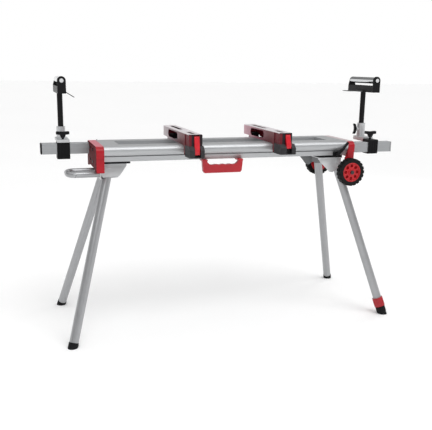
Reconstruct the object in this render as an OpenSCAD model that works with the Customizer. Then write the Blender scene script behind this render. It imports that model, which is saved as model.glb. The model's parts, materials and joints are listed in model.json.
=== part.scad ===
// Folding mitre saw stand with saw brackets, extending arms, roller supports and wheels.
// Origin: on the floor under the middle of the beam. X runs along the beam, Y towards
// the back and Z up. Sizes are in millimetres.

/* [Beam] */
// Length of the extrusion between the end caps
beam_len = 1114; // [900:2:1400]
// Half depth of the beam, front to back
beam_half = 138; // [110:1:160]
// Height of the beam's top face above the floor
beam_top = 800; // [700:1:900]
// Height of the beam section
beam_h = 65; // [50:1:80]
// Half width of the open channel in the top
channel_half = 60; // [40:1:70]
// Depth of the open channel in the top
channel_d = 18; // [10:1:30]
// Length of each end cap
cap_len = 33; // [20:1:50]

/* [Extending arms] */
// Distance from the middle to the outer end of each arm
arm_end = 788; // [650:1:1000]
// Length of each arm tube
arm_len = 640; // [400:1:800]
// Width of the arm tube
arm_w = 40; // [25:1:50]
// Height of the arm tube
arm_h = 46; // [30:1:50]
// Distance from the beam's centre plane to the arm's centre
arm_y = 100; // [80:1:110]
// Height of the arm's centre
arm_z = 769; // [700:1:800]

/* [Legs] */
// Outside diameter of the leg tube
leg_d = 38; // [25:1:50]
// Height of the leg pivots
pivot_z = 700; // [600:1:780]
// Distance of the left pivots from the middle, along the beam
left_pivot_x = 525; // [400:1:600]
// Distance of the left pivots from the centre plane
left_pivot_y = 38; // [30:1:60]
// Distance of the right pivots from the middle, along the beam
right_pivot_x = 520; // [400:1:600]
// Distance of the right pivots from the centre plane
right_pivot_y = 90; // [80:1:110]
// Distance of the left feet from the middle, along the beam
left_foot_x = 720; // [600:1:850]
// Distance of the left feet from the centre plane
left_foot_y = 256; // [150:1:350]
// Distance of the right feet from the middle, along the beam
right_foot_x = 714; // [600:1:850]
// Distance of the right feet from the centre plane
right_foot_y = 274; // [150:1:350]

/* [Wheels] */
// Wheel centre along the beam
wheel_x = 561; // [500:1:650]
// Wheel centre height
wheel_z = 663; // [600:1:720]
// Tyre radius
wheel_r = 63; // [50:1:90]
// Hub radius
hub_r = 44; // [30:1:60]
// Inner face of the wheel, from the centre plane
wheel_y = 147; // [142:1:170]
// Tyre width
wheel_w = 30; // [20:1:40]

/* [Saw brackets] */
// Position of the left bracket along the beam
left_bracket_x = -196.5; // [-400:0.5:-120]
// Position of the right bracket along the beam
right_bracket_x = 206.5; // [120:0.5:400]
// Bracket width
bracket_w = 57; // [40:1:80]
// Half length of the bracket
bracket_half = 215; // [180:1:260]
// Height of the bracket's top face above the beam
bracket_h = 52; // [40:1:70]
// Width of the mounting slots
slot_w = 20; // [8:1:24]

/* [Roller supports] */
// Distance of both supports from the middle, along the beam
support_x = 698; // [640:1:760]
// Height of the right roller's centre
right_roller_z = 1072; // [1000:1:1150]
// Height of the left roller's centre
left_roller_z = 1056; // [1000:1:1150]
// Roller length
roller_len = 212; // [150:1:300]
// Roller radius
roller_r = 14.5; // [10:0.5:25]
// Post radius
post_r = 12; // [8:0.5:16]
// Post centre behind the arm's centre, right side
right_reach = 100; // [70:1:120]
// Post centre behind the arm's centre, left side
left_reach = 80; // [70:1:120]

/* [Handles] */
// Radius of the loop handle's tube
loop_r = 12.5; // [8:0.5:16]
// Half spacing of the loop handle's sides
loop_y = 50; // [40:1:60]
// Outer end of the loop handle
loop_end_x = -705; // [-760:1:-650]
// Depth of the carry handle's grip
grip_t = 18; // [12:1:24]

/* [Hidden] */
$fn = 48;
beam_x = beam_len / 2;
beam_bottom = beam_top - beam_h;
cap_end = beam_x + cap_len;
leg_r = leg_d / 2;
wall = 4;
sheet = 3;
fit = 0.4;
shaft_fit = 0.08;
nose_r = 22;
lug_gap = 0.6;
bolt_r = 5;
axle_r = 8;
tab_y = 124;
silver = [0.72, 0.73, 0.74];
steel = [0.80, 0.81, 0.82];
red = [0.72, 0.05, 0.08];
maroon = [0.40, 0.03, 0.06];
black = [0.05, 0.05, 0.055];
grey = [0.22, 0.22, 0.23];
chrome = [0.85, 0.86, 0.88];
rubber = [0.03, 0.03, 0.03];

// ---------- shared helpers ----------

// Extrude a Y-Z outline along X
module along_x(x0, x1) {
    translate([x0, 0, 0])
    rotate([90, 0, 90])
    linear_extrude(height = x1 - x0)
    union() {
        children();
    }
}

// Extrude an X-Z outline along Y
module along_y(y0, y1) {
    translate([0, y1, 0])
    rotate([90, 0, 0])
    linear_extrude(height = y1 - y0)
    union() {
        children();
    }
}

// Rod along X, Y or Z starting at the current origin
module rod_x(r, h) {
    rotate([0, 90, 0])
    cylinder(r = r, h = h);
}

module rod_y(r, h) {
    rotate([-90, 0, 0])
    cylinder(r = r, h = h);
}

// Keep a shape and its copy on the other side of the centre plane
module both_y() {
    children();
    mirror([0, 1, 0])
    children();
}

// ---------- beam ----------

module half_section() {
    difference() {
        union() {
            translate([beam_half - nose_r, beam_top - nose_r])
            circle(r = nose_r);
            polygon([
                [0, beam_bottom], [beam_half - 22, beam_bottom], [beam_half - 8, beam_top - 43],
                [beam_half - nose_r, beam_top - 43], [beam_half - nose_r, beam_top],
                [channel_half, beam_top], [channel_half, beam_top - channel_d],
                [0, beam_top - channel_d]
            ]);
        }
        // Rail tunnel for the arm
        translate([arm_y - arm_w / 2 - fit, arm_z - arm_h / 2 - fit])
        square([arm_w + 2 * fit, arm_h + 2 * fit]);
        // Hollow under the channel
        translate([-1, beam_bottom + wall])
        square([channel_half, beam_h - channel_d - 2 * wall]);
        // Decorative groove on top
        translate([beam_half - nose_r + 3, beam_top - 2])
        square([1.6, 3]);
    }
}

module beam() {
    color(silver)
    along_x(-beam_x, beam_x)
    both_y_2d()
    half_section();
}

module both_y_2d() {
    children();
    mirror([1, 0])
    children();
}

// Flat plates that fill the channel near the caps
module channel_plates() {
    plate_len = 72;
    color(silver)
    for (s = [-1, 1])
        translate([s * (beam_x - plate_len / 2), 0, beam_top - channel_d / 2])
        cube([plate_len, 2 * channel_half, channel_d], center = true);
}

// ---------- end caps ----------

module cap_outline(bottom) {
    translate([beam_half - nose_r, beam_top - 3 - nose_r])
    circle(r = nose_r);
    polygon([
        [0, beam_top], [beam_half - nose_r, beam_top], [beam_half - 3, beam_top - 18],
        [beam_half - 1, beam_top - 28], [beam_half - 1, beam_top - 49],
        [beam_half - 4, beam_top - 49], [beam_half - 4, bottom],
        [beam_half - 28, bottom], [channel_half, bottom + 11], [0, bottom + 11]
    ]);
}

module cap_body(bottom) {
    difference() {
        along_x(0, cap_len)
        both_y_2d()
        cap_outline(bottom);
        // Hollow behind the end wall
        translate([-1, -beam_half + 12, beam_bottom + wall])
        cube([cap_len - wall, 2 * beam_half - 24, beam_h - 2 * wall - 6]);
        translate([-1, -beam_half + 18, bottom - 1])
        cube([cap_len - wall, 2 * beam_half - 36, beam_bottom - bottom + 8]);
    }
}

module arm_window(s) {
    translate([-cap_len, s * arm_y - arm_w / 2 - fit, arm_z - arm_h / 2 - fit])
    cube([3 * cap_len, arm_w + 2 * fit, arm_h + 2 * fit]);
}

module left_end_cap() {
    tab_bottom = 692;
    color(red)
    difference() {
        translate([-beam_x, 0, 0])
        mirror([1, 0, 0])
        cap_body(tab_bottom);
        translate([-beam_x - cap_len, 0, 0])
        arm_window(1);
    }
}

module right_end_cap() {
    tab_bottom = 712;
    color(red)
    difference() {
        union() {
            translate([beam_x, 0, 0])
            cap_body(tab_bottom);
            // Tabs that carry the wheel axles
            both_y()
            along_y(tab_y, beam_half) {
                polygon([
                    [beam_x, beam_top - 43], [588, beam_top - 43], [578, 726],
                    [578, wheel_z], [544, wheel_z], [548, 726], [beam_x, beam_bottom - 2]
                ]);
                translate([wheel_x, wheel_z])
                circle(r = 19);
            }
        }
        translate([beam_x + cap_len, 0, 0])
        arm_window(-1);
        // Axle holes
        both_y()
        translate([wheel_x, tab_y - 4, wheel_z])
        rod_y(axle_r, 30);
    }
}

module cap_screws() {
    screw_r = 6;
    color(black)
    for (s = [-1, 1], y = [-40, 40], z = [728, 778])
        translate([s * (cap_end + 1.5), y, z])
        rotate([0, 90, 0])
        cylinder(r = screw_r, h = 3, center = true);
}

// ---------- arms ----------

module arm_tube(s) {
    difference() {
        translate([arm_end - arm_len, s * arm_y - arm_w / 2, arm_z - arm_h / 2])
        cube([arm_len, arm_w, arm_h]);
        translate([arm_end - arm_len - 1, s * arm_y - arm_w / 2 + 2.5, arm_z - arm_h / 2 + 2.5])
        cube([arm_len + 2, arm_w - 5, arm_h - 5]);
    }
}

module arm_plug(s) {
    flange = 6;
    translate([arm_end, s * arm_y - arm_w / 2, arm_z - arm_h / 2])
    cube([flange, arm_w, arm_h]);
    translate([arm_end - 20, s * arm_y - arm_w / 2 + 2.5, arm_z - arm_h / 2 + 2.5])
    cube([20, arm_w - 5, arm_h - 5]);
}

module left_arm() {
    color(silver)
    mirror([1, 0, 0])
    arm_tube(1);
}

module right_arm() {
    color(silver)
    arm_tube(-1);
}

module left_arm_plug() {
    color(black)
    mirror([1, 0, 0])
    arm_plug(1);
}

module right_arm_plug() {
    color(black)
    arm_plug(-1);
}

// Cam levers that lock the arms in the beam
lock_x = 500;
lock_z = 745;
lock_pin_r = 4;

module lock_block_one() {
    along_y(-142, -124)
    polygon([
        [lock_x - 14, lock_z - 9], [lock_x + 14, lock_z - 9],
        [lock_x + 14, lock_z + 9], [lock_x - 14, lock_z + 9]
    ]);
    translate([lock_x, -156, lock_z])
    rod_y(lock_pin_r, 16);
    translate([lock_x, -157, lock_z])
    rod_y(7, 2);
}

module lock_lever_one() {
    difference() {
        along_y(-154.5, -142.5) {
            translate([lock_x, lock_z])
            circle(r = 9);
            polygon([
                [lock_x - 4, lock_z + 8], [lock_x + 8, lock_z - 2], [lock_x + 30, lock_z + 22],
                [lock_x + 47, lock_z + 44], [lock_x + 52, lock_z + 47], [lock_x + 46, lock_z + 54],
                [lock_x + 41, lock_z + 49], [lock_x + 25, lock_z + 27]
            ]);
        }
        translate([lock_x, -160, lock_z])
        rod_y(lock_pin_r + shaft_fit, 30);
    }
}

module lock_blocks() {
    color(black) {
        difference() {
            lock_block_one();
            along_x(lock_x - 20, lock_x + 20)
            polygon([[-130, 757], [-116, 735], [-116, 757]]);
        }
        rotate([0, 0, 180])
        difference() {
            lock_block_one();
            along_x(lock_x - 20, lock_x + 20)
            polygon([[-130, 757], [-116, 735], [-116, 757]]);
        }
    }
}

module right_lock_lever() {
    color(black)
    lock_lever_one();
}

module left_lock_lever() {
    color(black)
    rotate([0, 0, 180])
    lock_lever_one();
}

// ---------- leg brackets ----------

left_dx = left_foot_x - left_pivot_x;
left_dy = left_foot_y - left_pivot_y;
right_dx = right_foot_x - right_pivot_x;
right_dy = right_foot_y - right_pivot_y;
left_splay = atan2(left_dy, pivot_z);
right_splay = atan2(right_dy, pivot_z);
left_lean = atan2(left_dx, sqrt(left_dy * left_dy + pivot_z * pivot_z));
right_lean = atan2(right_dx, sqrt(right_dy * right_dy + pivot_z * pivot_z));
left_leg_len = sqrt(left_dx * left_dx + left_dy * left_dy + pivot_z * pivot_z);
right_leg_len = sqrt(right_dx * right_dx + right_dy * right_dy + pivot_z * pivot_z);
saddle_z = 722;
saddle_t = 3;
saddle_in = -97;
saddle_out = 20;
lug_top = 38;

// Frame at a pivot, tilted outwards by the splay
module pivot_frame(x, y, splay) {
    translate([x, y, pivot_z])
    rotate([splay, 0, 0])
    children();
}

// Frame whose -Z runs down a leg
module left_leg_frame() {
    pivot_frame(-left_pivot_x, left_pivot_y, left_splay)
    rotate([0, left_lean, 0])
    children();
}

module right_leg_frame() {
    pivot_frame(right_pivot_x, right_pivot_y, right_splay)
    rotate([0, -right_lean, 0])
    children();
}

inner_lug_y = -leg_r - lug_gap - sheet;
outer_lug_y = leg_r + lug_gap;

// Sheet lug with the pivot hole, its inner face at y0
module lug(y0) {
    difference() {
        along_y(y0, y0 + sheet)
        children();
        translate([0, y0 - 1, 0])
        rod_y(bolt_r, sheet + 2);
    }
}

module right_lugs() {
    pivot_frame(right_pivot_x, right_pivot_y, right_splay) {
        lug(outer_lug_y)
        polygon([
            [saddle_in, lug_top], [-90, 2], [-46, -46], [-29, -49], [8, -24], [17, -8],
            [saddle_out, lug_top]
        ]);
        lug(inner_lug_y)
        polygon([
            [-45, lug_top], [-40, -10], [-20, -24], [8, -24], [17, -8], [saddle_out, lug_top]
        ]);
    }
}

module left_lugs() {
    pivot_frame(-left_pivot_x, left_pivot_y, left_splay)
    for (y0 = [inner_lug_y, outer_lug_y])
        lug(y0)
        polygon([
            [78, lug_top], [72, 2], [40, -40], [-30, -45], [-39, -30], [-39, lug_top]
        ]);
}

module right_leg_bracket() {
    color(steel)
    difference() {
        union() {
            translate([right_pivot_x + saddle_in, -118, saddle_z])
            cube([saddle_out - saddle_in, 236, saddle_t]);
            both_y()
            right_lugs();
        }
        translate([0, -200, saddle_z + saddle_t])
        cube([700, 400, 20]);
    }
}

module left_leg_bracket() {
    color(steel)
    difference() {
        union() {
            translate([-left_pivot_x - 41, -72, saddle_z])
            cube([119, 144, saddle_t]);
            translate([-left_pivot_x - 41, -68, 655])
            cube([wall, 136, saddle_z - 654]);
            both_y()
            left_lugs();
        }
        translate([-700, -200, saddle_z + saddle_t])
        cube([700, 400, 20]);
        // Sockets for the loop handle
        both_y()
        translate([-left_pivot_x - 42, loop_y, 675])
        rod_x(loop_r, 8);
    }
}

module bracket_pads() {
    pad_z = saddle_z + saddle_t;
    color(black) {
        translate([right_pivot_x + saddle_in, -116, pad_z])
        cube([saddle_out - saddle_in, 232, beam_bottom - pad_z]);
        translate([-left_pivot_x - 35, -106, pad_z])
        cube([115, 212, beam_bottom - pad_z]);
    }
}

module bolt_through() {
    span = leg_r + lug_gap + sheet;
    translate([0, -span - 3, 0])
    rod_y(bolt_r, 2 * span + 6);
    for (y0 = [-span - 5, span])
        translate([0, y0, 0])
        rod_y(8, 5);
}

module leg_bolts() {
    color(chrome)
    both_y() {
        pivot_frame(-left_pivot_x, left_pivot_y, left_splay)
        bolt_through();
        pivot_frame(right_pivot_x, right_pivot_y, right_splay)
        bolt_through();
    }
}

// ---------- legs and feet ----------

leg_stub = 8;
tip_len = 21;
tip_r = 20.5;
tube_gap = 0.3;

module leg_tube(len) {
    difference() {
        translate([0, 0, -len])
        cylinder(r = leg_r, h = len + leg_stub);
        translate([0, 0, -len - 1])
        cylinder(r = leg_r - 1.6, h = len + leg_stub + 2);
        translate([0, -leg_r - 1, 0])
        rod_y(bolt_r + shaft_fit, leg_d + 2);
    }
}

// Rubber tip cut flat where it meets the floor
module floor_cut() {
    translate([-1000, -500, -100])
    cube([2000, 1000, 100]);
}

module tip(len) {
    difference() {
        translate([0, 0, -len - 20])
        cylinder(r = tip_r, h = tip_len + 20);
        translate([0, 0, -len + 8])
        cylinder(r = leg_r, h = tip_len);
    }
}

module leg_left_rear() {
    color(silver)
    left_leg_frame()
    leg_tube(left_leg_len - 8);
}

module leg_left_front() {
    color(silver)
    mirror([0, 1, 0])
    left_leg_frame()
    leg_tube(left_leg_len - 8);
}

module leg_right_rear() {
    color(silver)
    right_leg_frame()
    leg_tube(right_leg_len - 8);
}

module leg_right_front() {
    color(silver)
    mirror([0, 1, 0])
    right_leg_frame()
    leg_tube(right_leg_len - 60);
}

module foot_left_rear() {
    color(rubber)
    difference() {
        left_leg_frame()
        tip(left_leg_len);
        floor_cut();
    }
}

module foot_left_front() {
    color(rubber)
    mirror([0, 1, 0])
    difference() {
        left_leg_frame()
        tip(left_leg_len);
        floor_cut();
    }
}

module foot_right_rear() {
    color(rubber)
    difference() {
        right_leg_frame()
        tip(right_leg_len);
        floor_cut();
    }
}

// Twist collar that locks the levelling foot
collar_top = 80;
collar_bottom = 38;
collar_r = 24;
boot_top = 34;
boot_r = 22;

module foot_collar() {
    color(red)
    mirror([0, 1, 0])
    right_leg_frame()
    translate([0, 0, -right_leg_len])
    difference() {
        union() {
            translate([0, 0, collar_bottom])
            cylinder(r = collar_r, h = collar_top - collar_bottom);
            for (a = [0 : 60 : 300])
                rotate([0, 0, a])
                translate([collar_r - 3, -3, collar_bottom + 6])
                cube([5, 6, collar_top - collar_bottom - 12]);
        }
        translate([0, 0, collar_bottom - 1])
        cylinder(r = leg_r + tube_gap, h = collar_top);
    }
}

module adjustable_foot() {
    stem_r = leg_r - 1.6 - tube_gap;
    color(rubber)
    mirror([0, 1, 0])
    difference() {
        right_leg_frame()
        translate([0, 0, -right_leg_len]) {
            translate([0, 0, -20])
            cylinder(r = tip_r, h = 20 + boot_top);
            translate([0, 0, 10])
            cylinder(r = boot_r, h = boot_top - 10);
            cylinder(r = stem_r, h = 150);
        }
        floor_cut();
    }
}

// ---------- wheels ----------

module hub() {
    pockets = 8;
    boss_r = 15;
    dish = 5;
    difference() {
        translate([wheel_x, wheel_y, wheel_z])
        rod_y(hub_r, wheel_w);
        translate([wheel_x, wheel_y - 1, wheel_z])
        rod_y(axle_r + shaft_fit, wheel_w + 2);
        // Dished face
        translate([wheel_x, wheel_y + wheel_w - dish, wheel_z])
        difference() {
            rod_y(hub_r - 4, dish + 1);
            translate([0, -1, 0])
            rod_y(boss_r, dish + 3);
        }
        // Pockets between the spokes
        for (i = [0 : pockets - 1])
            translate([wheel_x, wheel_y + wheel_w - 16, wheel_z])
            rotate([0, i * 360 / pockets, 0])
            translate([29, 0, 0])
            rod_y(7.5, 17);
    }
}

module tyre() {
    lugs = 20;
    groove_d = 3.5;
    difference() {
        translate([wheel_x, wheel_y, wheel_z])
        rod_y(wheel_r, wheel_w);
        translate([wheel_x, wheel_y - 1, wheel_z])
        rod_y(hub_r, wheel_w + 2);
        // Tread grooves
        for (i = [0 : lugs - 1])
            translate([wheel_x, wheel_y - 1, wheel_z])
            rotate([0, i * 360 / lugs, 0])
            translate([wheel_r - groove_d, 0, -3])
            cube([10, 12, 6]);
        for (i = [0 : lugs - 1])
            translate([wheel_x, wheel_y + wheel_w - 11, wheel_z])
            rotate([0, (i + 0.5) * 360 / lugs, 0])
            translate([wheel_r - groove_d, 0, -3])
            cube([10, 12, 6]);
    }
}

module rear_wheel_hub() {
    color(red)
    hub();
}

module front_wheel_hub() {
    color(red)
    mirror([0, 1, 0])
    hub();
}

module rear_tyre() {
    color(rubber)
    tyre();
}

module front_tyre() {
    color(rubber)
    mirror([0, 1, 0])
    tyre();
}

module wheel_axles() {
    nut_y = wheel_y + wheel_w + 0.5;
    nut_r = 8.5;
    spacer_r = 13;
    color(chrome)
    both_y() {
        translate([wheel_x, tab_y, wheel_z])
        rod_y(axle_r, nut_y - tab_y + 6);
        translate([wheel_x, beam_half, wheel_z])
        rod_y(spacer_r, wheel_y - beam_half - 0.5);
        translate([wheel_x, nut_y, wheel_z])
        rod_y(nut_r, 6);
    }
}

// ---------- handles ----------

module loop_handle() {
    bend_r = 34;
    side_x = loop_end_x + loop_r + bend_r;
    web_x = -left_pivot_x - 41 + wall;
    color(silver)
    translate([0, 0, 675]) {
        both_y() {
            translate([side_x, loop_y, 0])
            rod_x(loop_r, web_x - side_x);
            translate([side_x, loop_y - bend_r, 0])
            rotate([0, 0, 90])
            rotate_extrude(angle = 90)
            translate([bend_r, 0])
            circle(r = loop_r);
        }
        translate([loop_end_x + loop_r, -loop_y + bend_r, 0])
        rod_y(loop_r, 2 * (loop_y - bend_r));
    }
}

handle_y = -136;

module carry_handle() {
    grip_bottom = 677;
    grip_top = 714;
    color(red) {
        along_y(handle_y, handle_y + grip_t)
        difference() {
            polygon([
                [-141, beam_bottom], [-136, grip_bottom + 8], [-130, grip_bottom],
                [33, grip_bottom], [39, grip_bottom + 8], [44, beam_bottom], [20, beam_bottom],
                [13, grip_top], [-109, grip_top], [-117, beam_bottom]
            ]);
            // Finger scallops
            for (i = [0 : 3])
                translate([-94 + i * 31, grip_top + 27])
                circle(r = 29);
        }
        for (x0 = [-141, 20])
            translate([x0, handle_y, beam_bottom - 7])
            cube([24, 40, 7]);
    }
}

module handle_screws() {
    color(chrome)
    for (x = [-129, 32])
        translate([x, -106, beam_bottom - 10])
        cylinder(r = 6, h = 3);
}

// ---------- saw brackets ----------

bracket_top = beam_top + bracket_h;
half_w = bracket_w / 2;
head_front = -212;
head_back = -156;
block_front = -231;
left_tip_y = -217;
right_tip_y = -221;
pin_y = -208;
pin_r = 3;
lever_w = 22;
pin_z = 838;
left_lever_offset = 7;
right_lever_offset = 12;

module bracket_side(window) {
    difference() {
        polygon([
            [head_back, bracket_top - sheet], [head_back, 770], [-150, 762], [-143, 762],
            [-143, beam_top - 8], [-130, beam_top], [142, beam_top], [146, beam_top + 6],
            [bracket_half, beam_top + 6], [bracket_half, bracket_top - sheet]
        ]);
        // Lightening window
        if (window) {
            translate([-20, beam_top + 10])
            square([130, 33]);
            for (y = [-20, 110])
                translate([y, beam_top + 26.5])
                circle(r = 16.5);
        }
    }
}

module saw_bracket(x0) {
    translate([x0, 0, 0]) {
        difference() {
            translate([-half_w, -bracket_half, bracket_top - sheet])
            cube([bracket_w, 2 * bracket_half, sheet]);
            // Mounting slots
            slot(0, 185);
            slot(-190, -100);
        }
        along_x(-half_w, -half_w + sheet)
        bracket_side(true);
        along_x(half_w - sheet, half_w)
        bracket_side(false);
        // Rear wall
        translate([-half_w, bracket_half - sheet, beam_top + 6])
        cube([bracket_w, sheet, bracket_h - 6]);
    }
}

module slot(y0, y1) {
    depth = sheet + 2;
    translate([-slot_w / 2, y0 + slot_w / 2, bracket_top - sheet - 1])
    cube([slot_w, y1 - y0 - slot_w, depth]);
    for (y = [y0 + slot_w / 2, y1 - slot_w / 2])
        translate([0, y, bracket_top - sheet - 1])
        cylinder(r = slot_w / 2, h = depth);
}

module left_saw_bracket() {
    color(maroon)
    saw_bracket(left_bracket_x);
}

module right_saw_bracket() {
    color(maroon)
    saw_bracket(right_bracket_x);
}

// Casting at the front of each bracket, with a recess for the lever
module clamp_head(x0, offset_x, bottom, block_right, tip_y) {
    upper_left = -half_w + sheet;
    upper_right = 31;
    block_left = -28;
    recess_half = lever_w / 2 + 1.5;
    recess_bottom = bottom + 4;
    translate([x0, 0, 0]) {
        difference() {
            union() {
                translate([upper_left, head_front, bottom + 30])
                cube([
                    upper_right - upper_left, head_back - head_front,
                    bracket_top - sheet - bottom - 30
                ]);
                along_x(block_left, block_right)
                polygon([
                    [head_back, bottom], [block_front + 3, bottom], [block_front, bottom + 4],
                    [block_front, 788], [head_front - 1, 804], [head_back, 804]
                ]);
            }
            // Recess that follows the lever
            along_x(offset_x - recess_half, offset_x + recess_half)
            polygon([
                [block_front - 5, recess_bottom], [tip_y + 9, recess_bottom],
                [pin_y + 8, pin_z - 4], [pin_y + 8, bracket_top], [block_front - 5, bracket_top]
            ]);
        }
        translate([offset_x - recess_half - 4, pin_y, pin_z])
        rod_x(pin_r, 2 * recess_half + 8);
        // Jaw that reaches in under the rail
        translate([-20, head_back, 757])
        cube([40, 12, 24]);
    }
}

module left_clamp_head() {
    color(grey)
    clamp_head(left_bracket_x, left_lever_offset, 755, 36, left_tip_y);
}

module right_clamp_head() {
    color(grey)
    clamp_head(right_bracket_x, right_lever_offset, 760, 43, right_tip_y);
}

module release_lever(x0, tip_y, tip_z) {
    barrel_r = 6.5;
    difference() {
        union() {
            translate([x0 - lever_w / 2, pin_y, pin_z])
            rod_x(barrel_r, lever_w);
            along_x(x0 - lever_w / 2, x0 + lever_w / 2)
            polygon([
                [pin_y - 6, pin_z], [pin_y + 4, pin_z - 4], [tip_y + 4, tip_z + 12],
                [tip_y, tip_z], [tip_y - 5, tip_z + 2], [tip_y - 6, tip_z + 16]
            ]);
        }
        translate([x0 - lever_w, pin_y, pin_z])
        rod_x(pin_r + shaft_fit, 2 * lever_w);
    }
}

module left_release_lever() {
    color(red)
    release_lever(left_bracket_x + left_lever_offset, left_tip_y, 766);
}

module right_release_lever() {
    color(red)
    release_lever(right_bracket_x + right_lever_offset, right_tip_y, 784);
}

module rear_hook(x0) {
    color(black)
    translate([x0, 0, 0]) {
        translate([-22, 142, beam_top + 8])
        cube([44, 60, 10]);
        along_x(-22, 22)
        polygon([[142, beam_top + 8], [142, 758], [150, 758], [166, 776], [166, beam_top + 8]]);
    }
}

module left_rear_hook() {
    rear_hook(left_bracket_x);
}

module right_rear_hook() {
    rear_hook(right_bracket_x);
}

// ---------- roller supports ----------

block_half = 27;
right_block_x = -3;
right_knob_x = -8;
base_half = 26;
socket_r = 19;

// Sleeve that slides on the arm; y is measured from the arm's centre
module clamp_block(x0, x1, bottom, top, hole_x, hole_top) {
    front = -24;
    groove_w = 4;
    groove_d = 1.5;
    pitch = (x1 - x0) / 4;
    difference() {
        along_x(x0, x1)
        polygon([
            [front, bottom + 4], [front + 4, bottom], [30, bottom], [30, top],
            [front + 2, top], [front, top - 2]
        ]);
        translate([x0 - 1, -arm_w / 2 - fit, arm_z - arm_h / 2 - fit])
        cube([x1 - x0 + 2, arm_w + 2 * fit, arm_h + 2 * fit]);
        // Grooves down the front
        for (i = [0 : 3])
            translate([x0 + (i + 0.5) * pitch - groove_w / 2, front - 1, bottom - 1])
            cube([groove_w, groove_d + 1, top - bottom - 6]);
        translate([hole_x, 0, hole_top])
        cylinder(r = bolt_r + shaft_fit, h = 20);
    }
}

module right_clamp_block() {
    color(black)
    translate([support_x, -arm_y, 0])
    clamp_block(right_block_x - 25, right_block_x + 25, 738, 803, right_knob_x, 794);
}

module left_clamp_block() {
    color(black)
    translate([-support_x, arm_y, 0])
    clamp_block(-block_half, block_half, 724, 796, 0, 793);
}

// Cross plate with the post socket
module support_base(y0, z0, z1, reach, socket_top, knob_angle) {
    difference() {
        union() {
            translate([-base_half, y0, z0])
            cube([2 * base_half, reach + 22 - y0, z1 - z0]);
            translate([0, reach, z1])
            cylinder(r = socket_r, h = socket_top - z1);
            translate([0, reach, socket_top - 28])
            rotate([0, 0, knob_angle])
            rod_x(9, 27);
        }
        translate([0, reach, z0 - 1])
        cylinder(r = post_r + shaft_fit, h = socket_top);
        translate([0, reach, socket_top - 28])
        rotate([0, 0, knob_angle])
        rod_x(bolt_r + shaft_fit, 40);
        translate([0, 0, z0 - 1])
        cylinder(r = bolt_r + shaft_fit, h = 40);
    }
}

right_socket_top = 871;
left_socket_top = 856;

module right_support_base() {
    color(silver)
    translate([support_x, -arm_y, 0])
    support_base(30, 791, 809, right_reach, right_socket_top, 180);
}

module left_support_base() {
    color(silver)
    translate([-support_x, arm_y, 0])
    support_base(-26, 796, 808, left_reach, left_socket_top, 90);
}

// Wing knob that clamps the support to the arm
module clamp_knob(foot_z) {
    bar_half = 28;
    along_y(-6, 6)
    polygon([
        [-bar_half, 840], [-bar_half, 829], [-13, 827], [-7, 814], [7, 814], [13, 827],
        [bar_half, 829], [bar_half, 840], [bar_half - 4, 842], [0, 840], [-bar_half + 4, 842]
    ]);
    translate([0, 0, foot_z])
    cylinder(r = bolt_r, h = 815 - foot_z);
}

module right_clamp_knob() {
    color(black)
    translate([support_x + right_knob_x, -arm_y, 0])
    clamp_knob(794.5);
}

module left_clamp_knob() {
    color(black)
    translate([-support_x, arm_y, 0])
    clamp_knob(793.5);
}

module post_tube(z0, z1) {
    difference() {
        translate([0, 0, z0])
        cylinder(r = post_r, h = z1 - z0);
        translate([0, 0, z0 - 1])
        cylinder(r = post_r - 2, h = z1 - z0 - 3);
    }
}

head_drop = 54;

module right_post() {
    color(black)
    translate([support_x, -arm_y + right_reach, 0])
    post_tube(795, right_roller_z - head_drop);
}

module left_post() {
    color(black)
    translate([-support_x, arm_y + left_reach, 0])
    post_tube(798, left_roller_z - head_drop);
}

// Crescent wing knob on the socket's boss, pointing along +X
module post_knob() {
    along_y(-6, 6)
    polygon([
        [27.5, -8], [30, -20], [36, -25], [42, -23], [37, -12], [36, 0],
        [37, 12], [42, 23], [36, 25], [30, 20], [27.5, 8]
    ]);
    translate([14, 0, 0])
    rod_x(bolt_r, 16);
}

module right_post_knob() {
    color(black)
    translate([support_x, -arm_y + right_reach, right_socket_top - 28])
    rotate([0, 0, 180])
    post_knob();
}

module left_post_knob() {
    color(black)
    translate([-support_x, arm_y + left_reach, left_socket_top - 28])
    rotate([0, 0, 90])
    post_knob();
}

roller_half = roller_len / 2;

module roller_bracket() {
    plate_y = roller_half + 1;
    difference() {
        union() {
            // Channel under the roller
            translate([-18, -plate_y, -head_drop])
            cube([36, 2 * plate_y, wall]);
            for (x0 = [-18, 15])
                translate([x0, -plate_y, -head_drop])
                cube([3, 2 * plate_y, 30]);
            // Front ear with a round top, and a slimmer one at the rear
            along_y(-plate_y - 6, -plate_y) {
                circle(r = 18);
                polygon([[-18, -head_drop], [18, -head_drop], [18, 0], [-18, 0]]);
            }
            along_y(plate_y, plate_y + 6) {
                circle(r = 12);
                polygon([
                    [-18, -head_drop], [18, -head_drop], [18, 30 - head_drop], [12, 0], [-12, 0],
                    [-18, 30 - head_drop]
                ]);
            }
            // Post collar
            translate([0, 0, -head_drop])
            cylinder(r = post_r + 3, h = 20);
        }
        translate([0, -plate_y - 10, 0])
        rod_y(bolt_r, 2 * plate_y + 20);
    }
}

module right_head_frame() {
    translate([support_x, -arm_y + right_reach, right_roller_z])
    children();
}

module left_head_frame() {
    translate([-support_x, arm_y + left_reach, left_roller_z])
    children();
}

module roller_bolts() {
    head_y = roller_half + 7;
    translate([0, -head_y - 2, 0])
    rod_y(bolt_r, 2 * head_y + 4);
    both_y()
    translate([0, head_y, 0])
    rod_y(8.5, 4);
}

module roller() {
    difference() {
        translate([0, -roller_half, 0])
        rod_y(roller_r, roller_len);
        translate([0, -roller_half - 1, 0])
        rod_y(bolt_r + shaft_fit, roller_len + 2);
    }
}

module right_roller_bracket() {
    color(black)
    right_head_frame()
    roller_bracket();
}

module left_roller_bracket() {
    color(black)
    left_head_frame()
    roller_bracket();
}

module right_roller() {
    color(chrome)
    right_head_frame()
    roller();
}

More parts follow.
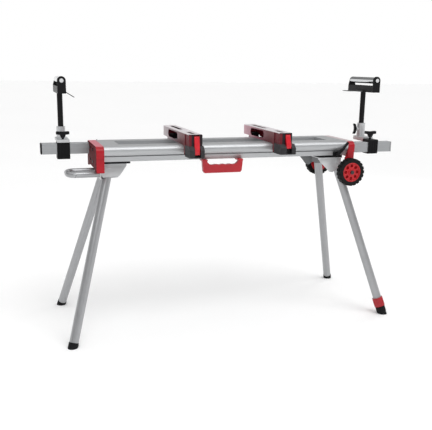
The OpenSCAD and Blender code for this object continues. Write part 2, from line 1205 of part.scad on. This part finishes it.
module left_roller() {
    color(chrome)
    left_head_frame()
    roller();
}

module right_roller_bolts() {
    color(chrome)
    right_head_frame()
    roller_bolts();
}

module left_roller_bolts() {
    color(chrome)
    left_head_frame()
    roller_bolts();
}

// Swing-up end stop beside the roller; it points along -X
stop_pin_x = -23;

module flip_stop(len, angle) {
    stop_half = 30;
    translate([stop_pin_x, 0, -head_drop + 4])
    rotate([0, -angle, 0]) {
        translate([-len, -stop_half, -1.5])
        cube([len, 2 * stop_half, 3]);
        translate([0, -stop_half, 0])
        rod_y(4, 2 * stop_half);
    }
}

module right_flip_stop() {
    color(grey)
    right_head_frame()
    flip_stop(72, 0);
}

module left_flip_stop() {
    color(grey)
    left_head_frame()
    mirror([1, 0, 0])
    flip_stop(44, 32);
}

beam();
channel_plates();
left_end_cap();
right_end_cap();
cap_screws();
lock_blocks();
left_lock_lever();
right_lock_lever();
left_arm();
right_arm();
left_arm_plug();
right_arm_plug();
left_leg_bracket();
right_leg_bracket();
bracket_pads();
leg_bolts();
leg_left_front();
leg_left_rear();
leg_right_front();
leg_right_rear();
foot_left_front();
foot_left_rear();
foot_right_rear();
foot_collar();
adjustable_foot();
front_wheel_hub();
rear_wheel_hub();
front_tyre();
rear_tyre();
wheel_axles();
loop_handle();
carry_handle();
handle_screws();
left_saw_bracket();
right_saw_bracket();
left_clamp_head();
right_clamp_head();
left_release_lever();
right_release_lever();
left_rear_hook();
right_rear_hook();
left_support_base();
right_support_base();
left_clamp_block();
right_clamp_block();
left_clamp_knob();
right_clamp_knob();
left_post();
right_post();
left_post_knob();
right_post_knob();
left_roller_bracket();
right_roller_bracket();
left_roller();
right_roller();
left_roller_bolts();
right_roller_bolts();
left_flip_stop();
right_flip_stop();
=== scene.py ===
import json
import math

import bmesh
import bpy
from mathutils import Matrix, Vector


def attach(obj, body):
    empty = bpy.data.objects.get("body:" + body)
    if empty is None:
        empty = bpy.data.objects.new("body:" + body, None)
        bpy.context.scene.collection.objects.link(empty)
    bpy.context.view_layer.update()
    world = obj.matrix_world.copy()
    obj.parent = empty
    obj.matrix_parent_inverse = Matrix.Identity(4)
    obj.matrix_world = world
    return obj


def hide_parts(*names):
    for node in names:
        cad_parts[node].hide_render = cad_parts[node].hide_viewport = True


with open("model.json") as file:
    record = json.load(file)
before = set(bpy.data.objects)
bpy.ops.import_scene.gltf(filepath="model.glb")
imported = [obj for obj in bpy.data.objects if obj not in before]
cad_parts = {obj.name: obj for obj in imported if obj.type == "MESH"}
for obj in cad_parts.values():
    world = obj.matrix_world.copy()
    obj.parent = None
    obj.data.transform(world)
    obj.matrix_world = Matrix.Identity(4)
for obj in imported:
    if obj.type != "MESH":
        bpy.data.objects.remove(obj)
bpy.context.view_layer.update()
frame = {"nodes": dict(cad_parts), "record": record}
NODES = frame["nodes"]
RECORD = frame["record"]
BODY_OF = {n: b for b, ns in RECORD["behaviour"]["bodies"].items() for n in ns}
scene = bpy.context.scene


def box(node):
    """Lowest and highest corner of a CAD node, in metres."""
    corners = [v.co for v in NODES[node].data.vertices]
    return [tuple(pick(c[i] for c in corners) for i in range(3)) for pick in (min, max)]


# ---------------------------------------------------------------- sizes and colours

# Painted zones start this far inside the faces that they colour
CAP_TOP_SKIN = 0.0015
CAP_END_SKIN = 0.0008
LID_SKIN = 0.0028
FACE_SKIN = 0.0004
HUB_SKIN = 0.0002
# The upper part of a clamp head: its height, and how far its front stands back
HEAD_UPPER = 0.0455
HEAD_STEP = 0.0198
# Where the near-black front of each head begins, from the head's left side
LEFT_DARK, RIGHT_DARK = 0.0125, 0.0135

(cap_end, _, _), (_, _, cap_top) = box("left_end_cap")
(left_face, bracket_front, _), (_, _, bracket_top) = box("left_saw_bracket")
right_face = box("right_saw_bracket")[0][0]
(left_head, head_front, _), (_, _, head_top) = box("left_clamp_head")
right_head = box("right_clamp_head")[0][0]
hub_face = box("rear_wheel_hub")[1][1]

CAP_TOP_Z = cap_top - CAP_TOP_SKIN
CAP_END_X = -cap_end - CAP_END_SKIN
LID_Z = bracket_top - LID_SKIN
LID_EDGE_Y = -bracket_front - FACE_SKIN
HEAD_SPLIT_Z = head_top - HEAD_UPPER
HEAD_FRONT_Y = -head_front - HEAD_STEP
# The left face of a saw bracket carries a painted reflection that grows pale between these two
# places on Y
REFLECTION_FROM_Y, REFLECTION_TO_Y = -0.18, 0.20

RED = (0.40, 0.005, 0.014)
MAROON = (0.15, 0.008, 0.016)
MAROON_DARK = (0.014, 0.006, 0.009)
# Saw bracket lids are painted this pale tone as a painted reflection of the bright sky
LID_REFLECTION = (0.74, 0.69, 0.71)
LID_EDGE = (0.03, 0.008, 0.014)
INK = (0.007, 0.007, 0.008)
CAST_DARK, CAST_PALE = (0.019, 0.018, 0.020), (0.030, 0.029, 0.032)
SILVER = (0.38, 0.385, 0.395)
ALUMINIUM = (0.46, 0.47, 0.48)
BRIGHT = (0.70, 0.71, 0.72)

# Half widths of a zone's border and of a painted face's border
ZONE_SOFT = 0.0006
FACE_SOFT = 0.0002
# How far roughness strays from its middle, on coats and on drawn metal
COAT_STRAY = 0.06
DRAWN_STRAY = 0.07
# Height of the fine grain
GRAIN_HEIGHT = 0.0004
LINE_HEIGHT = 0.0003

# ---------------------------------------------------------------- materials


def shade(col, k):
    return tuple(min(1.0, x * k) for x in col)


def fill_ramp(ramp, stops):
    """Gives a colour ramp its stops, as (place, colour)."""
    while len(ramp.elements) < len(stops):
        ramp.elements.new(0.5)
    for stop, (place, col) in zip(ramp.elements, stops):
        stop.position = place
        stop.color = (*col, 1)


class Graph:
    """A short way to wire a shader tree."""

    def __init__(self, name):
        self.mat = bpy.data.materials.new(name)
        self.mat.use_nodes = True
        self.tree = self.mat.node_tree
        self.tree.nodes.clear()
        out = self.new("OutputMaterial")
        self.bsdf = self.new("BsdfPrincipled")
        self.link(self.bsdf.outputs[0], out.inputs[0])
        self.coord = self.new("TexCoord").outputs["Object"]

    def new(self, kind):
        return self.tree.nodes.new("ShaderNode" + kind)

    def link(self, source, socket):
        self.tree.links.new(source, socket)

    def feed(self, socket, value):
        """Sets a colour or a number, or links another node's output."""
        if isinstance(value, tuple):
            socket.default_value = (*value, 1)
        elif isinstance(value, (int, float)):
            socket.default_value = value
        else:
            self.link(value, socket)

    def stretched(self, scale):
        n = self.new("Mapping")
        n.inputs["Scale"].default_value = scale
        self.link(self.coord, n.inputs["Vector"])
        return n.outputs[0]

    def noise(self, scale, detail=3.0, rough=0.55, vector=None):
        n = self.new("TexNoise")
        n.inputs["Scale"].default_value = scale
        n.inputs["Detail"].default_value = detail
        n.inputs["Roughness"].default_value = rough
        self.link(vector or self.coord, n.inputs["Vector"])
        return n.outputs[0]

    def ramp(self, fac, stops):
        n = self.new("ValToRGB")
        fill_ramp(n.color_ramp, stops)
        self.link(fac, n.inputs[0])
        return n.outputs[0]

    def tones(self, fac, col, dark, pale):
        """One colour that noise takes between a darker and a paler tone."""
        return self.ramp(fac, [(0.3, shade(col, dark)), (0.7, shade(col, pale))])

    def remap(self, value, lo, hi, to_lo=0.0, to_hi=1.0):
        n = self.new("MapRange")
        n.inputs["From Min"].default_value = lo
        n.inputs["From Max"].default_value = hi
        n.inputs["To Min"].default_value = to_lo
        n.inputs["To Max"].default_value = to_hi
        self.link(value, n.inputs[0])
        return n.outputs[0]

    def beyond(self, value, split, soft=ZONE_SOFT):
        """0 below the split and 1 beyond it."""
        return self.remap(value, split - soft, split + soft)

    def spread(self, fac, middle, reach):
        """Noise turned into a range around a middle value."""
        return self.remap(fac, 0.3, 0.7, middle - reach, middle + reach)

    def math(self, op, a, b):
        n = self.new("Math")
        n.operation = op
        self.feed(n.inputs[0], a)
        self.feed(n.inputs[1], b)
        return n.outputs[0]

    def axis(self, which, sign=1):
        n = self.new("SeparateXYZ")
        self.link(self.coord, n.inputs[0])
        place = n.outputs[which]
        return place if sign > 0 else self.math("MULTIPLY", place, -1.0)

    def mix(self, fac, a, b, blend="MIX"):
        n = self.new("Mix")
        n.data_type = "RGBA"
        n.blend_type = blend
        self.feed(n.inputs[0], fac)
        self.feed(n.inputs[6], a)
        self.feed(n.inputs[7], b)
        return n.outputs[2]

    def bump(self, height, strength, distance):
        n = self.new("Bump")
        n.inputs["Strength"].default_value = strength
        n.inputs["Distance"].default_value = distance
        self.link(height, n.inputs["Height"])
        self.link(n.outputs[0], self.bsdf.inputs["Normal"])

    def base(self, colour):
        self.link(colour, self.bsdf.inputs["Base Color"])

    def rough(self, value):
        self.link(value, self.bsdf.inputs["Roughness"])

    def set(self, **values):
        for name, value in values.items():
            self.bsdf.inputs[name.replace("_", " ")].default_value = value

    def cast_finish(self, rough, metal, spec):
        """The finish that all parts with painted zones share."""
        self.rough(self.spread(self.noise(90, 3), rough, COAT_STRAY))
        self.set(Metallic=metal, Specular_IOR_Level=spec)
        self.bump(self.noise(800, 2), 0.15, GRAIN_HEIGHT)
        return self.mat


def coated(
    name, col, rough, metal=0.0, var=0.12, grain=900, strength=0.15, patch=14, coat=0.0, spec=0.5
):
    """Paint, powder coat or moulded plastic with fine grain and broad uneven tone."""
    g = Graph(name)
    g.base(g.tones(g.noise(patch, 4), col, 1 - var, 1 + var))
    g.rough(g.spread(g.noise(patch * 5, 3), rough, COAT_STRAY))
    g.set(Metallic=metal, Specular_IOR_Level=spec)
    if coat:
        g.set(Coat_Weight=coat, Coat_Roughness=0.25)
    g.bump(g.noise(grain, 2), strength, GRAIN_HEIGHT)
    return g.mat


def brushed(name, col, rough, along, metal, var=0.06):
    """Drawn metal with fine lines along one axis."""
    g = Graph(name)
    scale = [420.0, 420.0, 420.0]
    scale[along] = 5.0
    lines = g.noise(1.0, 4, 0.6, g.stretched(scale))
    g.base(g.tones(lines, col, 1 - var, 1 + var))
    g.rough(g.spread(lines, rough, DRAWN_STRAY))
    g.set(Metallic=metal)
    g.bump(lines, 0.12, LINE_HEIGHT)
    return g.mat


def zoned(name, low, high, split, rough, metal, mirror=False):
    """One colour below a place on Y and another beyond it, or beyond it on both sides."""
    g = Graph(name)
    place = g.axis(1)
    if mirror:
        place = g.math("ABSOLUTE", place, 0.0)
    broad = g.noise(22, 4)
    near = g.tones(broad, low, 0.86, 1.14)
    far = g.tones(broad, high, 0.94, 1.04)
    g.base(g.mix(g.beyond(place, split), near, far))
    return g.cast_finish(rough, metal, 0.4)


def head_paint(name, dark_x):
    """Cast clamp head: dark block, maroon upper part with a near-black front face."""
    g = Graph(name)
    broad = g.noise(22, 4)
    block = g.ramp(broad, [(0.3, CAST_DARK), (0.7, CAST_PALE)])
    paint = g.tones(broad, MAROON, 0.7, 1.1)
    front = g.beyond(g.axis(1, -1), HEAD_FRONT_Y)
    dark = g.math("MULTIPLY", front, g.beyond(g.axis(0), dark_x))
    upper = g.mix(dark, paint, MAROON_DARK)
    g.base(g.mix(g.beyond(g.axis(2), HEAD_SPLIT_Z), block, upper))
    return g.cast_finish(0.42, 0.15, 0.3)


def bracket_paint(name, face_x, middle, far):
    """Maroon sheet; its left face runs to a pale painted reflection at the back, and the lid is
    painted pale as a reflection.
    """
    g = Graph(name)
    along = g.remap(g.axis(1), REFLECTION_FROM_Y, REFLECTION_TO_Y)
    # Painted reflection: the left face runs from maroon to a pale tone towards the back
    side = g.ramp(along, [(0.0, MAROON), (0.25, MAROON), (0.55, middle), (1.0, far)])
    on_face = g.beyond(g.axis(0, -1), -face_x, FACE_SOFT)
    side = g.mix(on_face, MAROON, side)
    mottle = g.tones(g.noise(22, 4), (1.0, 1.0, 1.0), 0.88, 1.0)
    side = g.mix(1.0, side, mottle, "MULTIPLY")
    # Painted reflection: the lid above LID_Z is pale
    sheet = g.mix(g.beyond(g.axis(2), LID_Z), side, LID_REFLECTION)
    edge = g.beyond(g.axis(1, -1), LID_EDGE_Y, FACE_SOFT)
    g.base(g.mix(edge, sheet, LID_EDGE))
    return g.cast_finish(0.34, 0.15, 0.4)


def cap_paint(name, top_highlight, end_shade):
    """Red cap whose top face is painted paler as a painted highlight, and whose end face takes a
    tone of its own as painted shade and is less glossy.
    """
    g = Graph(name)
    cap = g.tones(g.noise(14, 4), RED, 0.9, 1.1)
    # Painted highlight: the top face above CAP_TOP_Z is paler
    cap = g.mix(g.beyond(g.axis(2), CAP_TOP_Z), cap, top_highlight)
    # Painted shade: the end face past CAP_END_X takes the end tone, which is dark on the left
    # cap
    out = g.beyond(g.axis(0, -1), CAP_END_X)
    g.base(g.mix(out, cap, end_shade))
    rough = g.spread(g.noise(70, 3), 0.34, COAT_STRAY)
    g.rough(g.math("ADD", rough, g.math("MULTIPLY", out, 0.45)))
    g.set(Specular_IOR_Level=0.3)
    g.bump(g.noise(1200, 2), 0.2, GRAIN_HEIGHT)
    return g.mat


M = {
    "beam": brushed("beam_aluminium", ALUMINIUM, 0.38, 0, 0.55),
    "plate": brushed("plate_aluminium", ALUMINIUM, 0.40, 0, 0.50),
    "arm": brushed("arm_aluminium", (0.36, 0.37, 0.38), 0.38, 0, 0.60),
    "leg": coated("leg_silver_coat", SILVER, 0.34, 0.65, 0.04, grain=700, strength=0.12),
    "loop": coated("loop_silver_coat", SILVER, 0.32, 0.6, 0.05, grain=700),
    "zinc": coated("bracket_zinc", (0.66, 0.67, 0.68), 0.38, 0.25, 0.04, grain=600),
    # Painted shade: the rear half of the right leg bracket is a darker zinc, standing in for the
    # shadow under the beam
    "zinc_right_painted_shade": zoned(
        "bracket_zinc_right_painted_shade", (0.62, 0.63, 0.64), (0.17, 0.175, 0.18), 0.0, 0.38, 0.25
    ),
    "base": coated("support_silver", (0.55, 0.56, 0.57), 0.34, 0.5, 0.05, grain=600),
    "red": coated(
        "red_plastic", RED, 0.34, var=0.10, grain=1200, strength=0.2, coat=0.25, spec=0.4
    ),
    # Cap tops are painted paler as a painted highlight; the left cap's end face is painted dark
    # as painted shade, the right cap's end stays red
    "cap_left": cap_paint("cap_red_left", (0.55, 0.12, 0.16), (0.10, 0.004, 0.008)),
    "cap_right": cap_paint("cap_red_right", (0.62, 0.52, 0.53), RED),
    "lever": coated(
        "lever_red", (0.60, 0.008, 0.02), 0.32, grain=1200, strength=0.2, patch=30, coat=0.2,
        spec=0.4,
    ),
    "hub": coated(
        "hub_red", (0.50, 0.006, 0.012), 0.38, var=0.14, grain=1200, strength=0.2, patch=30,
        coat=0.1, spec=0.4,
    ),
    # The middle and far tones are a painted reflection on each saw bracket's left face, paler
    # towards the back
    "bracket_left": bracket_paint(
        "bracket_left_paint", left_face + FACE_SKIN, (0.27, 0.17, 0.20), (0.50, 0.43, 0.45)
    ),
    "bracket_right": bracket_paint(
        "bracket_right_paint", right_face + FACE_SKIN, (0.34, 0.08, 0.13), (0.60, 0.33, 0.39)
    ),
    "head_left": head_paint("cast_grey_left", left_head + LEFT_DARK),
    "head_right": head_paint("cast_grey_right", right_head + RIGHT_DARK),
    "stop": coated("stop_grey", (0.05, 0.05, 0.052), 0.40, 0.3, grain=700, spec=0.3),
    "black": coated("black_plastic", INK, 0.46, var=0.25, strength=0.25, spec=0.12),
    "paint": coated("black_paint", INK, 0.38, var=0.25, spec=0.15),
    "rubber": coated("rubber_black", INK, 0.72, var=0.25, grain=500, strength=0.4, spec=0.2),
    "tyre": coated(
        "tyre_black", (0.006, 0.006, 0.006), 0.70, var=0.25, grain=400, strength=0.5, spec=0.2
    ),
    "chrome": coated("chrome_bright", BRIGHT, 0.18, 1.0, 0.03, grain=300, strength=0.05),
    "axle": zoned(
        "axle_steel", (0.012, 0.012, 0.013), (0.05, 0.05, 0.052), hub_face + HUB_SKIN, 0.3, 0.6,
        mirror=True,
    ),
    "bolt": coated("bolt_zinc", BRIGHT, 0.38, 0.3, 0.05, grain=600, strength=0.1),
    "plug": coated("plug_grey", (0.30, 0.305, 0.31), 0.42, 0.2, 0.08, grain=700, spec=0.3),
    "roller": brushed("roller_chrome", (0.66, 0.67, 0.68), 0.16, 1, 1.0, 0.05),
}

USE = {
    "beam": ["beam"],
    "plate": ["channel_plates"],
    "arm": ["left_arm", "right_arm"],
    "leg": ["leg_left_front", "leg_left_rear", "leg_right_front", "leg_right_rear"],
    "loop": ["loop_handle"],
    "zinc": ["left_leg_bracket"],
    "zinc_right_painted_shade": ["right_leg_bracket"],
    "base": ["left_support_base", "right_support_base"],
    "red": ["carry_handle", "foot_collar"],
    "cap_left": ["left_end_cap"],
    "cap_right": ["right_end_cap"],
    "lever": ["left_release_lever", "right_release_lever"],
    "hub": ["front_wheel_hub", "rear_wheel_hub"],
    "bracket_left": ["left_saw_bracket"],
    "bracket_right": ["right_saw_bracket"],
    "head_left": ["left_clamp_head"],
    "head_right": ["right_clamp_head"],
    "stop": ["left_flip_stop", "right_flip_stop"],
    "black": [
        "lock_blocks", "left_lock_lever", "right_lock_lever", "left_arm_plug",
        "bracket_pads", "left_rear_hook", "right_rear_hook", "left_clamp_block",
        "right_clamp_block", "left_clamp_knob", "right_clamp_knob", "left_post_knob",
        "right_post_knob",
    ],
    "paint": [
        "cap_screws", "left_post", "right_post", "left_roller_bracket", "right_roller_bracket",
    ],
    "rubber": ["foot_left_front", "foot_left_rear", "foot_right_rear", "adjustable_foot"],
    "tyre": ["front_tyre", "rear_tyre"],
    "chrome": ["handle_screws", "left_roller_bolts", "right_roller_bolts"],
    "bolt": ["leg_bolts"],
    "plug": ["right_arm_plug"],
    "axle": ["wheel_axles"],
    "roller": ["left_roller", "right_roller"],
}

for key, names in USE.items():
    for name in names:
        slots = NODES[name].data.materials
        if not slots:
            slots.append(M[key])
        for i in range(len(slots)):
            slots[i] = M[key]

# ---------------------------------------------------------------- softened copies

BEVEL_SEGMENTS = 2
BEVEL_ANGLE = math.radians(40)
SHARP_ANGLE = math.radians(38)
FLAT_ANGLE = math.radians(0.5)
SAME_POINT = 1e-6


def show(ob):
    scene.collection.objects.link(ob)
    return ob


def soften(node, key, width):
    """A copy of a CAD node with rounded edges; it rides and shows instead of the node."""
    me = NODES[node].data.copy()
    bm = bmesh.new()
    bm.from_mesh(me)
    bmesh.ops.remove_doubles(bm, verts=bm.verts, dist=SAME_POINT)
    bmesh.ops.dissolve_limit(bm, angle_limit=FLAT_ANGLE, verts=bm.verts, edges=bm.edges)
    for f in bm.faces:
        f.smooth = True
    bm.to_mesh(me)
    bm.free()
    me.set_sharp_from_angle(angle=SHARP_ANGLE)
    me.materials.clear()
    me.materials.append(M[key])
    ob = show(bpy.data.objects.new(node + "_look", me))
    bevel = ob.modifiers.new("edges", "BEVEL")
    bevel.width = width
    bevel.segments = BEVEL_SEGMENTS
    bevel.limit_method = "ANGLE"
    bevel.angle_limit = BEVEL_ANGLE
    bevel.use_clamp_overlap = True
    ob.modifiers.new("shading", "WEIGHTED_NORMAL").keep_sharp = True
    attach(ob, BODY_OF[node])
    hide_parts(node)


# Edge radius by material key
EDGES = {
    "red": 0.0022, "cap_left": 0.0022, "cap_right": 0.0022, "lever": 0.0022,
    "head_left": 0.0016, "head_right": 0.0016, "bracket_left": 0.0007,
    "bracket_right": 0.0007, "black": 0.0014, "zinc": 0.0007, "zinc_right_painted_shade": 0.0007,
    "base": 0.0010, "stop": 0.0005, "arm": 0.0016, "tyre": 0.0012, "hub": 0.0010,
    "rubber": 0.0012,
}
ROLLER_FRAME_EDGE = 0.0009

for key, width in EDGES.items():
    for name in USE[key]:
        soften(name, key, width)
for name in ("left_roller_bracket", "right_roller_bracket"):
    soften(name, "paint", ROLLER_FRAME_EDGE)

# ---------------------------------------------------------------- stage

FLOOR_HALF = 40
FLOOR_TONES = (0.93, 0.95)
FLOOR_GLOW = 0.07

floor_mesh = bpy.data.meshes.new("floor")
floor_mesh.from_pydata(
    [(FLOOR_HALF * x, FLOOR_HALF * y, 0) for x, y in ((-1, -1), (1, -1), (1, 1), (-1, 1))],
    [], [(0, 1, 2, 3)],
)
floor = show(bpy.data.objects.new("floor", floor_mesh))
pale = Graph("floor_pale")
pale.base(pale.tones(pale.noise(0.6, 2), (1.0, 1.0, 1.0), *FLOOR_TONES))
pale.set(Roughness=0.9, Emission_Color=(1, 1, 1, 1), Emission_Strength=FLOOR_GLOW)
floor_mesh.materials.append(pale.mat)


def area(name, place, target, size, power):
    """A soft rectangular light aimed at a point."""
    data = bpy.data.lights.new(name, "AREA")
    data.shape = "RECTANGLE"
    data.size, data.size_y = size
    data.energy = power
    ob = show(bpy.data.objects.new(name, data))
    ob.location = place
    ob.rotation_mode = "QUATERNION"
    ob.rotation_quaternion = (Vector(target) - Vector(place)).to_track_quat("-Z", "Y")


area("key", (-1.6, -3.2, 3.2), (0, 0, 0.6), (2.0, 2.0), 22)
area("rim", (3.0, 1.6, 2.2), (0, 0, 0.7), (1.2, 1.6), 14)
sun_data = bpy.data.lights.new("sun", "SUN")
sun_data.energy = 1.0
sun_data.angle = 0.7
sun = show(bpy.data.objects.new("sun", sun_data))
sun.rotation_euler = (0.45, 0.3, 0)

# White near the horizon and overhead, dark between, so metal shows bands
SKY = [(0.0, 1.0), (0.13, 1.0), (0.2, 0.30), (0.5, 0.22), (0.72, 0.9), (1.0, 1.0)]
world = bpy.data.worlds.new("studio")
world.use_nodes = True
sky = world.node_tree
background = sky.nodes["Background"]
coord = sky.nodes.new("ShaderNodeTexCoord")
split = sky.nodes.new("ShaderNodeSeparateXYZ")
bands = sky.nodes.new("ShaderNodeValToRGB")
fill_ramp(bands.color_ramp, [(height, (v, v, v)) for height, v in SKY])
sky.links.new(coord.outputs["Generated"], split.inputs[0])
sky.links.new(split.outputs[2], bands.inputs[0])
sky.links.new(bands.outputs[0], background.inputs[0])
background.inputs[1].default_value = 1.0
scene.world = world
scene.view_settings.view_transform = "Standard"

# ---------------------------------------------------------------- camera

# Angles in radians, place in metres, lens and sensor in millimetres
YAW, PITCH, ROLL = 0.323117, 0.227826, 0.017006
CAMERA_PLACE = (-0.948343, -2.741397, 1.127447)
LENS, SENSOR = 53.709417, 36

forward = Vector((
    math.sin(YAW) * math.cos(PITCH), math.cos(YAW) * math.cos(PITCH), -math.sin(PITCH)
))
right = forward.cross(Vector((0, 0, 1))).normalized()
up = right.cross(forward)
cam_right = math.cos(ROLL) * right + math.sin(ROLL) * up
cam_up = -math.sin(ROLL) * right + math.cos(ROLL) * up
cam_data = bpy.data.cameras.new("camera")
cam_data.sensor_width = SENSOR
cam_data.lens = LENS
cam_data.clip_end = 60
cam = show(bpy.data.objects.new("camera", cam_data))
placing = Matrix((cam_right, cam_up, -forward)).transposed().to_4x4()
placing.translation = CAMERA_PLACE
cam.matrix_world = placing
scene.camera = cam
